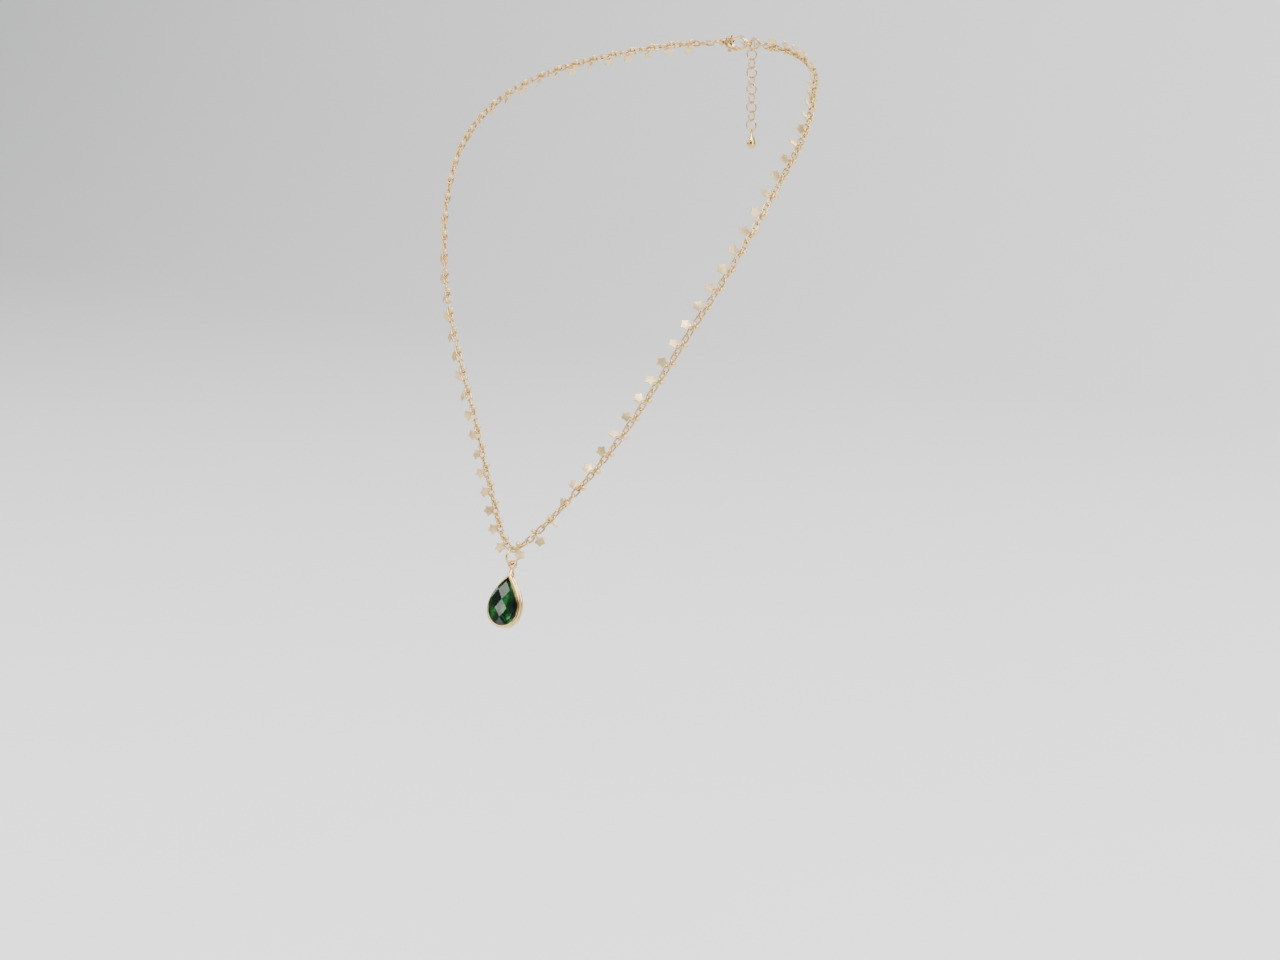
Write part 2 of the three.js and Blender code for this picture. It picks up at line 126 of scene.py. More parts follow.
PENDANT_TILT = math.radians(19)
RING_RADIUS = 2.3
RING_WIRE = 0.36
RING_DROP = 2.2
RING_YAW = math.radians(14)
RING_SPLIT_TURN = math.radians(118)
RING_OPENING = 0.035
LOOP_HOLE = 0.9
LOOP_RADIUS = 1.4
LOOP_DEPTH = 1.1
LOOP_BEVEL = 0.16
LOOP_FOOT_GAP = 0.12
LOOP_DROP = RING_DROP + RING_RADIUS + 0.15
BEZEL_WIDTH = 11.2
BEZEL_HEIGHT = 16.4
BEZEL_TOP_DROP = 2.4
BEZEL_DEPTH = 2.3
PEAR_TIP_ANGLE = math.radians(34)
PEAR_TIP_REACH = 0.8
PEAR_SHOULDER = 0.9
TIP_SHRINK = 2.8
PEAR_CENTRE_DROP = BEZEL_TOP_DROP + BEZEL_HEIGHT - BEZEL_WIDTH / 2

SMALL_RING_OPENING = 0.04
END_RING_RADIUS = 1.9
END_RING_WIRE = 0.3
EXTENDER_RADIUS = 1.6
EXTENDER_WIRE = 0.35
TAIL_TOP = Vector((3.05, 1.9, -0.8))
TAIL_RINGS = 5
TAIL_PITCH = 2.85
TAIL_JOINT_PITCH = 2.4
TAIL_RADIUS = 1.68
TAIL_WIRE = 0.25
TAIL_SEAM_STEP = 1.9
EYELET_RADIUS = 0.62
EYELET_WIRE = 0.46
EYELET_RISE = 0.45
DROP_GAP = 0.3

# Radius and height of the teardrop's profile, from its foot to its neck.
DROP_PROFILE = [
    (0, -5.3),
    (0.62, -5.2),
    (1.05, -4.85),
    (1.28, -4.5),
    (1.42, -4.1),
    (1.5, -3.6),
    (1.42, -3.1),
    (1.15, -2.25),
    (0.8, -1.35),
    (0.45, -0.5),
    (0.2, 0),
    (0, 0),
]

# The clasp is drawn flat, about the middle of its claw. Its boxes are x, y, width and height, and
# a negative bevel flares a cutter.
CLASP_X = -1.65
CLAW = (4.2, 2.6)
CLAW_HALF = 0.8
CLAW_BEVEL = 0.5
THROAT_X = 1.15
THROAT = (2.2, 1.45)
THROAT_BEVEL = -0.35
MOUTH = (-0.15, 1.8, 3.1, 2.2)
CUT_BEVEL = 0.01
EYE = Vector((-5, 0))
EYE_RADIUS = 1.15
EYE_HALF = CLAW_HALF * 0.8
EYE_BEVEL = 0.3
EYE_HOLE = 0.6
EYE_HOLE_BEVEL = -0.2
RIVET = Vector((-2.55, 0.75))
RIVET_RADIUS = 0.32
RIVET_GAP = 0.04
RIVET_PROUD = 0.02
RIVET_SHOULDER = (RIVET_RADIUS * 0.75, 0.1)
RIVET_DOME = 0.13
CHEEK_RADIUS = 1.0
CHEEK_BEVEL = 0.15
TRIGGER_SLOTS = ((-1.3, 1.8, 4.9, 3.6), (-2.45, -1.7, 2.6, 3.8))
TRIGGER_SLOT_HALF = 0.5
TRIGGER_HALF = 0.4
TRIGGER_BEVEL = 0.1
TRIGGER_SOFT = 0.16
TRIGGER_OUTLINE = [
    (-3.3, 0.9),
    (-3.2, 0),
    (-2.9, -1.8),
    (-2.9, -3.1),
    (-1.9, -3.1),
    (-2.1, -1.8),
    (-1.85, 0.3),
    (-1.5, 1.1),
    (0.2, 1.65),
    (1.15, 1.7),
    (1.15, 2.1),
    (0.2, 2.15),
    (-2.0, 1.75),
    (-2.9, 1.5),
]
SPRING_BOX = (-3.64, -0.2, 0.12, 1.5)
SPRING_BEVEL = 0.03
SPRING_SOFT = 0.04

# ------------------------------------------------------------------ materials

# Noise stays mostly between these two values.
PATTERN_LOW = 0.3
PATTERN_HIGH = 0.7

# Features per metre of each pattern.
TONE_PATCHES = 900
GLASS_STREAKS = 260
GLASS_MARKS = 1500
PAPER_CLOUDS = 6

# The plating's bumps are this many times finer than its uneven polish.
GRAIN_BUMP_FINER = 1.7
GRAIN_BUMP_STRENGTH = 0.35
GLASS_DEEP = (0.035, 0.17, 0.06)
GLASS_PALE = (0.09, 0.32, 0.11)
GLASS_POLISH = (0.0, 0.03)
GLASS_IOR = 1.55
PAPER_SHADE = 0.98


def new_material(name):
    material = bpy.data.materials.new(name)
    material.use_nodes = True
    tree = material.node_tree
    return material, tree, tree.nodes["Principled BSDF"]


def noise(tree, scale, detail=3.0, roughness=0.5):
    """A noise pattern in the piece's own coordinates; scale is in features per metre."""
    where = tree.nodes.new("ShaderNodeTexCoord")
    pattern = tree.nodes.new("ShaderNodeTexNoise")
    pattern.inputs["Scale"].default_value = scale
    pattern.inputs["Detail"].default_value = detail
    pattern.inputs["Roughness"].default_value = roughness
    tree.links.new(where.outputs["Object"], pattern.inputs["Vector"])
    return pattern.outputs["Fac"]


def tone(tree, source, dark, light):
    """Maps a pattern's usual range to the colours between two."""
    node = tree.nodes.new("ShaderNodeValToRGB")
    stops = ((PATTERN_LOW, dark), (PATTERN_HIGH, light))
    for element, (place, colour) in zip(node.color_ramp.elements, stops):
        element.position = place
        element.color = (*colour, 1)
    tree.links.new(source, node.inputs["Fac"])
    return node.outputs["Color"]


def spread(tree, source, low, high):
    """Maps a pattern's usual range to a range of values."""
    node = tree.nodes.new("ShaderNodeMapRange")
    node.inputs["From Min"].default_value = PATTERN_LOW
    node.inputs["From Max"].default_value = PATTERN_HIGH
    node.inputs["To Min"].default_value = low
    node.inputs["To Max"].default_value = high
    tree.links.new(source, node.inputs["Value"])
    return node.outputs["Result"]


def bumped(tree, shader, height, distance, strength):
    node = tree.nodes.new("ShaderNodeBump")
    node.inputs["Distance"].default_value = distance
    node.inputs["Strength"].default_value = strength
    tree.links.new(height, node.inputs["Height"])
    tree.links.new(node.outputs["Normal"], shader.inputs["Normal"])


def plated(name, dark, light, roughness, grain, bump):
    """Gold plating: patches of slightly different tone, uneven polish and a fine grain."""
    material, tree, shader = new_material(name)
    shader.inputs["Metallic"].default_value = 1
    colour = tone(tree, noise(tree, TONE_PATCHES, 4), dark, light)
    tree.links.new(colour, shader.inputs["Base Color"])
    polish = spread(tree, noise(tree, grain, 5, 0.65), *roughness)
    tree.links.new(polish, shader.inputs["Roughness"])
    bumped(tree, shader, noise(tree, grain * GRAIN_BUMP_FINER, 3), bump, GRAIN_BUMP_STRENGTH)
    return material


def glass(name):
    """Emerald glass with faint streaks of deeper colour."""
    material, tree, shader = new_material(name)
    shader.inputs["Transmission Weight"].default_value = 1
    shader.inputs["IOR"].default_value = GLASS_IOR
    colour = tone(tree, noise(tree, GLASS_STREAKS, 2), GLASS_DEEP, GLASS_PALE)
    tree.links.new(colour, shader.inputs["Base Color"])
    polish = spread(tree, noise(tree, GLASS_MARKS, 3), *GLASS_POLISH)
    tree.links.new(polish, shader.inputs["Roughness"])
    return material


def paper(name, light, roughness):
    """Pale backdrop paper, very slightly cloudy."""
    material, tree, shader = new_material(name)
    dark = [c * PAPER_SHADE for c in light]
    colour = tone(tree, noise(tree, PAPER_CLOUDS, 2), dark, light)
    tree.links.new(colour, shader.inputs["Base Color"])
    shader.inputs["Roughness"].default_value = roughness
    return material


# A plated finish has a dark and a light tone, its least and most roughness, its grain per metre,
# and the depth of its bumps in metres.
MATERIALS = {
    "chain_gold": plated(
        "chain_gold", (0.50, 0.31, 0.10), (0.78, 0.54, 0.22), (0.14, 0.28), 5200, 2e-5
    ),
    "star_gold": plated(
        "star_gold", (0.68, 0.48, 0.21), (0.87, 0.66, 0.35), (0.34, 0.5), 6400, 3e-5
    ),
    "bezel_gold": plated(
        "bezel_gold", (0.54, 0.35, 0.12), (0.81, 0.57, 0.24), (0.1, 0.22), 3400, 1.5e-5
    ),
    "green_glass": glass("green_glass"),
    "stone_foil": plated(
        "stone_foil", (0.45, 0.55, 0.46), (0.72, 0.80, 0.72), (0.15, 0.3), 1400, 4e-5
    ),
    "spring_steel": plated(
        "spring_steel", (0.5, 0.5, 0.5), (0.68, 0.68, 0.67), (0.25, 0.4), 5200, 1e-5
    ),
}

# ------------------------------------------------------------------ mesh helpers


def finish_piece(name, mesh, slot, body, replaces=(), smooth=True):
    """Turns a mesh in metres into a piece, with its finish and the body that it rides on."""
    mesh.validate()
    mesh.update()
    fixer = bmesh.new()
    fixer.from_mesh(mesh)
    bmesh.ops.recalc_face_normals(fixer, faces=fixer.faces)
    fixer.to_mesh(mesh)
    fixer.free()
    mesh.polygons.foreach_set("use_smooth", [smooth] * len(mesh.polygons))
    mesh.materials.append(MATERIALS[slot])
    piece = bpy.data.objects.new(name, mesh)
    bpy.context.scene.collection.objects.link(piece)
    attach(piece, body)
    if replaces:
        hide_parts(*replaces)
    return piece


def auto_smooth(piece, angle=35):
    """Smooth shading that keeps edges sharper than the given angle, in degrees."""
    piece.data.set_sharp_from_angle(angle=math.radians(angle))


class Shell:
    """Collects the closed surfaces, in millimetres, that make up one piece."""

    def __init__(self):
        self.vertices = []
        self.faces = []

    def add(self, vertices, faces, place=None):
        start = len(self.vertices)
        moved = [place @ Vector(v) for v in vertices] if place else vertices
        self.vertices.extend(moved)
        self.faces.extend([tuple(start + i for i in face) for face in faces])

    def piece(self, name, slot, body, replaces=()):
        mesh = bpy.data.meshes.new(name)
        mesh.from_pydata([tuple(c * MM for c in v) for v in self.vertices], [], self.faces)
        return finish_piece(name, mesh, slot, body, replaces)


def single(shape, place, name, slot, body, replaces=(), angle=50):
    """A piece made of one shape, with edges sharper than the angle left sharp."""
    shell = Shell()
    shell.add(*shape, place)
    auto_smooth(shell.piece(name, slot, body, replaces), angle)


def grid_faces(rings, sides, wrap_rings):
    """Quads between closed rings of points; with wrap_rings the last ring meets the first."""
    faces = []
    for ring in range(rings if wrap_rings else rings - 1):
        after = (ring + 1) % rings
        for side in range(sides):
            beside = (side + 1) % sides
            faces.append(
                (
                    ring * sides + side,
                    ring * sides + beside,
                    after * sides + beside,
                    after * sides + side,
                )
            )
    return faces


def flat_ring(centreline, wire, sides=10, gap_cut=False):
    """Round wire bent along a closed line in the XY plane; with gap_cut its two ends show."""
    vertices = []
    count = len(centreline)
    for i, (x, y) in enumerate(centreline):
        ahead = centreline[(i + 1) % count] if not gap_cut or i < count - 1 else (x, y)
        behind = centreline[i - 1] if not gap_cut or i > 0 else (x, y)
        run = Vector((ahead[0] - behind[0], ahead[1] - behind[1], 0)).normalized()
        out = Vector((run.y, -run.x, 0))
        for side in range(sides):
            turn = 2 * math.pi * side / sides
            radial = out * math.cos(turn) + Vector((0, 0, 1)) * math.sin(turn)
            vertices.append(Vector((x, y, 0)) + radial * wire / 2)
    faces = grid_faces(count, sides, wrap_rings=not gap_cut)
    if gap_cut:
        faces.append(tuple(range(sides)))
        faces.append(tuple(range((count - 1) * sides, count * sides)))
    return vertices, faces


def oval(length, width, wire, arc_steps=8, straight_steps=3):
    """Centreline of an oval link of the given outer size."""
    radius = (width - wire) / 2
    reach = (length - width) / 2
    points = []
    for sign in (1, -1):
        for i in range(arc_steps + 1):
            turn = math.pi * i / arc_steps - math.pi / 2
            bulge = 1 + LINK_BULGE * math.cos(2 * turn)
            points.append(
                (sign * (reach + radius * bulge * math.cos(turn)), sign * radius * math.sin(turn))
            )
        for i in range(1, straight_steps):
            part = 1 - 2 * i / straight_steps
            points.append((sign * reach * part, sign * radius))
    return points


def circle(radius, steps, opening=0.0):
    """Points round a circle; an opening in radians leaves a gap at the bottom."""
    turns = [
        opening / 2 + (2 * math.pi - opening) * i / (steps if not opening else steps - 1)
        for i in range(steps)
    ]
    return [(radius * math.sin(t), -radius * math.cos(t)) for t in turns]


def lathed(profile, sides):
    """A closed surface round the Z axis from (radius, z) points that start and end on it."""
    vertices = [Vector((0, 0, profile[0][1]))]
    inner = profile[1:-1]
    for radius, z in inner:
        for side in range(sides):
            turn = 2 * math.pi * side / sides
            vertices.append(Vector((radius * math.cos(turn), radius * math.sin(turn), z)))
    last = len(vertices)
    vertices.append(Vector((0, 0, profile[-1][1])))
    faces = [
        tuple(1 + i for i in face) for face in grid_faces(len(inner), sides, wrap_rings=False)
    ]
    for side in range(sides):
        beside = (side + 1) % sides
        faces.append((0, 1 + beside, 1 + side))
        top = 1 + (len(inner) - 1) * sides
        faces.append((last, top + side, top + beside))
    return vertices, faces


def basis(x_axis, y_axis, z_axis, origin):
    """The placement with the given axes and origin."""
    place = Matrix((x_axis, y_axis, z_axis)).transposed().to_4x4()
    place.translation = origin
    return place


# ------------------------------------------------------------------ route of the chain


class Route:
    """A centripetal Catmull-Rom curve through the drape's points, measured along its length."""

    STEPS = 120

    def __init__(self, points):
        ends = [points[0] * 2 - points[1], *points, points[-1] * 2 - points[-2]]
        self.places = []
        for i in range(len(points) - 1):
            self.places.extend(self.stretch(*ends[i : i + 4]))
        self.places.append(points[-1])
        self.distances = [0.0]
        for before, after in zip(self.places, self.places[1:]):
            self.distances.append(self.distances[-1] + (after - before).length)
        self.length = self.distances[-1]

    def stretch(self, before, start, end, after):
        gaps = [math.sqrt((b - a).length) for a, b in ((before, start), (start, end), (end, after))]
        out = (start - before) / gaps[0] - (end - before) / (gaps[0] + gaps[1])
        out = (out + (end - start) / gaps[1]) * gaps[1]
        into = (end - start) / gaps[1] - (after - start) / (gaps[1] + gaps[2])
        into = (into + (after - end) / gaps[2]) * gaps[1]
        for i in range(self.STEPS):
            t = i / self.STEPS
            square = (end - start) * 3 - out * 2 - into
            cube = (start - end) * 2 + out + into
            yield start + out * t + square * t * t + cube * t * t * t

    def at(self, distance):
        low, high = 0, len(self.distances) - 1
        while high - low > 1:
            middle = (low + high) // 2
            if self.distances[middle] <= distance:
                low = middle
            else:
                high = middle
        part = (distance - self.distances[low]) / (self.distances[high] - self.distances[low])
        return self.places[low].lerp(self.places[high], part)


RIGHT_HALF = [Vector(point) for point in DRAPE]
LEFT_HALF = [Vector((-x, y, z)) for x, y, z in reversed(DRAPE)]
ROUTE = Route([Vector(), *LEFT_HALF, V_BOTTOM, *RIGHT_HALF, Vector()])


def side_name(side):
    return "right" if side > 0 else "left"


def past_first_charm(links, side):
    """How many links a link is beyond the one with the side's first pin."""
    return links - FIRST_CHARM_LINK[side_name(side)]


def route_point(links, side):
    return ROUTE.at(ROUTE.length / 2 + side * links * LINK_PITCH)


def outward(point):
    """The way out from the neck and chest at a point of the chain."""
    flat = Vector((point.x, point.y - NECK_AXIS_Y, 0)).normalized()
    return (flat + Vector((0, 0, CHEST_RISE))).normalized()


def twist(links, side):
    """How far the right-hand chain has rolled over near the pendant."""
    if side < 0:
        return 0
    turned = min(max((TWIST_FROM_LINK - links) / TWIST_LINKS, 0), 1)
    return -math.pi * turned * turned * (3 - 2 * turned)


def link_frame(links, side):
    """Centre, direction along the chain, direction of a pin, and the way out from the chest."""
    start = route_point(links - 0.5, side)
    end = route_point(links + 0.5, side)
    along = (end - start).normalized()
    centre = (start + end) / 2
    face = outward(centre)
    pin = -along.cross(face).normalized()
    pin.rotate(Matrix.Rotation(twist(links, side), 3, along))
    return centre, along, pin, face


# ------------------------------------------------------------------ chain and star pins

LINK_SHAPE = flat_ring(oval(LINK_LENGTH, LINK_WIDTH, LINK_WIRE), LINK_WIRE)
SLIM_LINK = flat_ring(oval(LINK_LENGTH, LINK_WIDTH, SLIM_WIRE), SLIM_WIRE)


def link_place(links, side):
    """Where one link stands, with a few degrees of slack in how it lies."""
    centre, along, pin, _ = link_frame(links, side)
    if links > LAST_LINK:
        turn = math.pi / 2
    elif past_first_charm(links, side) % LINKS_PER_CHARM == 0:
        turn = 0
    else:
        slack = LINK_SLACK * math.sin(links * SLACK_STEP + side)
        turn = past_first_charm(links, side) * LINK_ROLL + slack
    flat = pin.copy()
    flat.rotate(Matrix.Rotation(turn, 3, along))
    return basis(along, flat.cross(along), flat, centre)


def softened(corners, amounts, steps=5):
    """Outline through the corners, each rounded off over the given distance."""
    outline = []
    count = len(corners)
    for i, (corner, soft) in enumerate(zip(corners, amounts)):
        before = (corners[i - 1] - corner).normalized() * soft
        after = (corners[(i + 1) % count] - corner).normalized() * soft
        for step in range(steps):
            t = step / (steps - 1)
            outline.append(corner + before * (1 - t) ** 2 + after * t**2)
    return outline


def star_outline():
    """A five-point star with blunt tips and soft inner corners, one tip towards the link."""
    corners = []
    for i in range(10):
        radius = STAR_WAIST if i % 2 else STAR_RADIUS
        turn = math.pi * i / 5 - math.pi / 2
        corners.append(Vector((radius * math.cos(turn), radius * math.sin(turn) + STAR_OFFSET)))
    return softened(corners, [STAR_TIP_SOFT, STAR_WAIST_SOFT] * 5)


def inset(outline, amount):
    """The outline moved inwards; it runs anticlockwise."""
    moved = []
    for i, point in enumerate(outline):
        run = (outline[(i + 1) % len(outline)] - outline[i - 1]).normalized()
        moved.append(point + Vector((-run.y, run.x)) * amount)
    return moved


def slab(outline, half, bevel, steps=3):
    """A plate of the given outline, centred on z = 0, with rounded edges; a negative bevel flares
    them outwards, for a cutter that leaves rounded edges behind."""
    levels = []
    for i in range(steps + 1):
        turn = math.pi / 2 * i / steps
        levels.append((bevel * (1 - math.sin(turn)), half - abs(bevel) * (1 - math.cos(turn))))
    if bevel < 0:
        levels = [
            (bevel * (i / steps) ** 2, half + bevel * (1 - i / steps)) for i in range(steps + 1)
        ]
        levels.append((bevel * 2, half - bevel))
        levels.reverse()
    levels = [(amount, -z) for amount, z in levels] + [(amount, z) for amount, z in levels[::-1]]
    count = len(outline)
    rings = [inset(outline, amount) for amount, _ in levels]
    vertices = [Vector((p.x, p.y, z)) for ring, (_, z) in zip(rings, levels) for p in ring]
    faces = grid_faces(len(levels), count, wrap_rings=False)
    faces.append(tuple(range(count)))
    faces.append(tuple(range((len(levels) - 1) * count, len(levels) * count)))
    return vertices, faces


def as_object(name, shape):
    """A scratch object in millimetres, for the booleans."""
    mesh = bpy.data.meshes.new(name)
    mesh.from_pydata([tuple(v) for v in shape[0]], [], shape[1])
    fixer = bmesh.new()
    fixer.from_mesh(mesh)
    bmesh.ops.recalc_face_normals(fixer, faces=fixer.faces)
    fixer.to_mesh(mesh)
    fixer.free()
    made = bpy.data.objects.new(name, mesh)
    bpy.context.scene.collection.objects.link(made)
    return made


def combined(shapes, operation):
    """The first shape with the others added or taken away, as (vertices, faces)."""
    objects = [as_object(f"part_{i}", shape) for i, shape in enumerate(shapes)]
    for other in objects[1:]:
        step = objects[0].modifiers.new("step", "BOOLEAN")
        step.operation = operation
        step.solver = "EXACT"
        step.object = other
    bpy.context.view_layer.update()
    result = objects[0].evaluated_get(bpy.context.evaluated_depsgraph_get()).to_mesh()
    vertices = [v.co.copy() for v in result.vertices]
    faces = [tuple(p.vertices) for p in result.polygons]
    for made in objects:
        bpy.data.objects.remove(made)
    return vertices, faces


def fused(*shapes):
    return combined(shapes, "UNION")


def carved(body, *tools):
    return combined((body, *tools), "DIFFERENCE")


def turned_to_y(shape):
    """Turns a shape built round +Z so that it stands along +Y."""
    turn = Matrix.Rotation(-math.pi / 2, 4, "X")
    return [turn @ v for v in shape[0]], shape[1]


def star_pin():
    """Bead, stem and star along +Y, with the link at the origin."""
    foot = STAR_OFFSET - STAR_RADIUS
    bead_arc = [math.pi * i / BEAD_STEPS for i in range(BEAD_STEPS + 1)]
    bead = [
        (BEAD_RADIUS * math.sin(t), -BEAD_OFFSET - BEAD_RADIUS * math.cos(t)) for t in bead_arc
    ]
    top = foot + STAR_WAIST
    stem = [
        (0, -BEAD_OFFSET),
        (PIN_RADIUS, -BEAD_OFFSET),
        (PIN_RADIUS, foot),
        (PIN_RADIUS * STEM_FLARE, foot + STEM_FLARE_RISE),
        (PIN_RADIUS * STEM_TAPER, top),
        (0, top + STEM_TIP),
    ]
    star = slab(star_outline(), STAR_THICKNESS / 2, STAR_BEVEL)
    return fused(
        star, turned_to_y(lathed(stem, sides=16)), turned_to_y(lathed(bead, sides=24))
    )


STAR_PIN = star_pin()


def charm_place(number, side):
    """Where a pin stands in its link, drooping and spun by its own angle."""
    links = (number - 1) * LINKS_PER_CHARM + FIRST_CHARM_LINK[side_name(side)]
    centre, along, pin, face = link_frame(links, side)
    droop = CHARM_DROOP * (1 - DROOP_SPREAD + DROOP_SPREAD * math.cos(twist(links, side)))
    stem = pin * math.cos(droop) - along * math.sin(droop)
    broad = stem.cross(face).normalized()
    spin = CHARM_SPIN * math.sin(number * CHARM_SPIN_STEP + side) + (0 if side > 0 else LEFT_SPIN)
    broad.rotate(Matrix.Rotation(spin, 3, stem))
    return basis(broad, stem, broad.cross(stem), centre)


def build_star_pins(side, first, last, name, body):
    """The pins of one stretch: the first twelve each have a node, and the rest share a piece."""
    label = side_name(side)
    past = [past_first_charm(links, side) for links in range(first, last + 1)]
    numbers = [n // LINKS_PER_CHARM + 1 for n in past if n >= 0 and n % LINKS_PER_CHARM == 0]
    extra = [number for number in numbers if number > CHARM_NODES]
    if extra:
        shell = Shell()
        for number in extra:
            shell.add(*STAR_PIN, charm_place(number, side))
        auto_smooth(shell.piece(f"star_pins_{label}_{name}", "star_gold", body))
    for number in numbers:
        if number <= CHARM_NODES:
            node = f"star_pin_{label}_{number:02d}"
            place = charm_place(number, side)
            single(STAR_PIN, place, f"fine_{node}", "star_gold", node, [node], angle=35)


def build_chain(side):
    """The links and pins of one strand; one link past the last holds the end ring."""
    label = side_name(side)
    first = 1
    for name, body, last in SECTIONS:
        end = last + 1 if last == LAST_LINK else last
        shell = Shell()
        for links in range(first, end + 1):
            shape = SLIM_LINK if links in HINGE_LINKS else LINK_SHAPE
            shell.add(*shape, link_place(links, side))
        shell.piece(f"links_{label}_{name}", "chain_gold", body, [f"chain_{label}_{name}"])
        build_star_pins(side, first, last, name, body)
        first = last + 1


def build_centre_link():
    """The link at the bottom of the V, flat to the front, that the jump ring passes through."""
    shell = Shell()
    shell.add(*SLIM_LINK, basis(Vector((1, 0, 0)), Vector((0, 0, -1)), Vector((0, 1, 0)), V_BOTTOM))
    shell.piece("centre_link", "chain_gold", "lower_drape", ["chain_centre_link"])


# ------------------------------------------------------------------ pendant

HANG = basis(
    Vector((1, 0, 0)),
    Vector((0, math.sin(PENDANT_TILT), math.cos(PENDANT_TILT))),
    Vector((0, -math.cos(PENDANT_TILT), math.sin(PENDANT_TILT))),
    V_BOTTOM - Vector((0, 0, LOOP_DROP)),
)
PEAR = HANG @ Matrix.Translation((0, -PEAR_CENTRE_DROP, -BEZEL_DEPTH / 2))


def pear_outline(inset_by, side_steps=40, arc_steps=64):
    """Pear outline, anticlockwise and ending at the tip, shrunk as the bezel's inner edges are."""
    radius = BEZEL_WIDTH / 2 - inset_by
    tip = BEZEL_HEIGHT - TIP_SHRINK * inset_by - radius
    slope = radius * PEAR_TIP_REACH
    lean = Vector((slope * math.sin(PEAR_TIP_ANGLE), tip - slope * math.cos(PEAR_TIP_ANGLE)))
    shoulder = Vector((radius, radius * PEAR_SHOULDER))
    controls = [Vector((0, tip)), lean, shoulder, Vector((radius, 0))]
    right = []
    for i in range(side_steps):
        t = i / side_steps
        weights = [(1 - t) ** 3, 3 * t * (1 - t) ** 2, 3 * t * t * (1 - t), t**3]
        point = Vector((0, 0))
        for weight, control in zip(weights, controls):
            point += control * weight
        right.append(point)
    turns = [math.pi * i / arc_steps for i in range(arc_steps + 1)]
    arc = [Vector((radius * math.cos(t), -radius * math.sin(t))) for t in turns]
    left = [Vector((-p.x, p.y)) for p in reversed(right[1:])]
    return list(reversed([*right, *arc, *left]))


def swept_pear(profile):
    """A closed band round the pear from (inset, height) points that close on themselves."""
    rings = [pear_outline(inset_by) for inset_by, _ in profile]
    sides = len(profile)
    count = len(rings[0])
    vertices = [
        Vector((*rings[j][i], profile[j][1])) for i in range(count) for j in range(sides)
    ]
    return vertices, grid_faces(count, sides, wrap_rings=True)


# How far in from the outer edge, and how far up from the back: back rim, groove, front rim, lip.
BEZEL_PROFILE = [
    (0.55, 0.0),
    (0.2, 0.0),
    (0.06, 0.05),
    (0.0, 0.18),
    (0.0, 0.58),
    (0.05, 0.7),
    (0.2, 0.78),
    (0.2, 1.3),
    (0.05, 1.38),
    (0.0, 1.5),
    (0.0, 2.02),
    (0.05, 2.2),
    (0.2, 2.3),
    (0.5, 2.32),
    (0.8, 2.26),
    (0.95, 2.12),
    (0.95, 1.98),
    (0.55, 1.84),
]


def plate(outline_inset, low, high, bevel):
    """A flat pear plate with softened edges."""
    levels = [
        (outline_inset + bevel, low),
        (outline_inset, low + bevel),
        (outline_inset, high - bevel),
        (outline_inset + bevel, high),
    ]
    rings = [pear_outline(amount) for amount, _ in levels]
    count = len(rings[0])
    vertices = [Vector((*p, z)) for ring, (_, z) in zip(rings, levels) for p in ring]
    faces = grid_faces(len(levels), count, wrap_rings=False)
    faces.append(tuple(range(count)))
    faces.append(tuple(range((len(levels) - 1) * count, len(levels) * count)))
    return vertices, faces


# Outline inset, low face, high face and bevel of the two flat plates behind the stone.
BACK_PLATE = (0.6, 0.02, 0.5, 0.08)
FOIL_PLATE = (0.75, 0.56, 0.66, 0.03)

# The crown and the pavilion are shallow domes. A dome falls by these amounts times x and y squared,
# and its facets touch it on a lattice whose diamonds are this wide and high.
STONE_INSET = 0.62
STONE_SIDE_STEPS = 14
STONE_ARC_STEPS = 26
CROWN_TOP = 3.6
CROWN_SPARE = 0.2
CROWN_FALL = (0.0386, 0.022)
CROWN_CELL = (4.0, 5.3)
FACET_CENTRE_Y = 0.2
DOME_CENTRE_Y = 2.0
CULET = 0.74
PAVILION_FALL = (0.045, 0.02)
PAVILION_CELL = (2.3, 3.2)
LATTICE_ROWS = 6
LATTICE_COLUMNS = 4


def cut_by(solid, point, normal):
    """Slices off everything in front of a plane and closes the cut."""
    everything = solid.verts[:] + solid.edges[:] + solid.faces[:]
    result = bmesh.ops.bisect_plane(
        solid, geom=everything, plane_co=point, plane_no=normal, clear_outer=True, dist=1e-5
    )
    edges = [e for e in result["geom_cut"] if isinstance(e, bmesh.types.BMEdge)]
    if len(edges) > 2:
        bmesh.ops.contextual_create(solid, geom=edges)


def facet_planes(top, fall, cell, upwards):
    """Planes that touch a shallow dome at the points of a diamond lattice."""
    lift = FACET_CENTRE_Y - DOME_CENTRE_Y
    planes = []
    for row in range(-LATTICE_ROWS, LATTICE_ROWS + 1):
        for column in range(-LATTICE_COLUMNS, LATTICE_COLUMNS + 1):
            x = (column + 0.5 * (row % 2)) * cell[0]
            y = row * cell[1] / 2
            if abs(x) > BEZEL_WIDTH or abs(y) > BEZEL_HEIGHT:
                continue
            rise = y + lift
            height = fall[0] * x * x + fall[1] * rise * rise
            point = Vector((x, y + FACET_CENTRE_Y, top - height if upwards else top + height))
            lean = Vector((2 * fall[0] * x, 2 * fall[1] * rise, 1))
            planes.append((point, lean if upwards else Vector((lean.x, lean.y, -1))))
    return planes


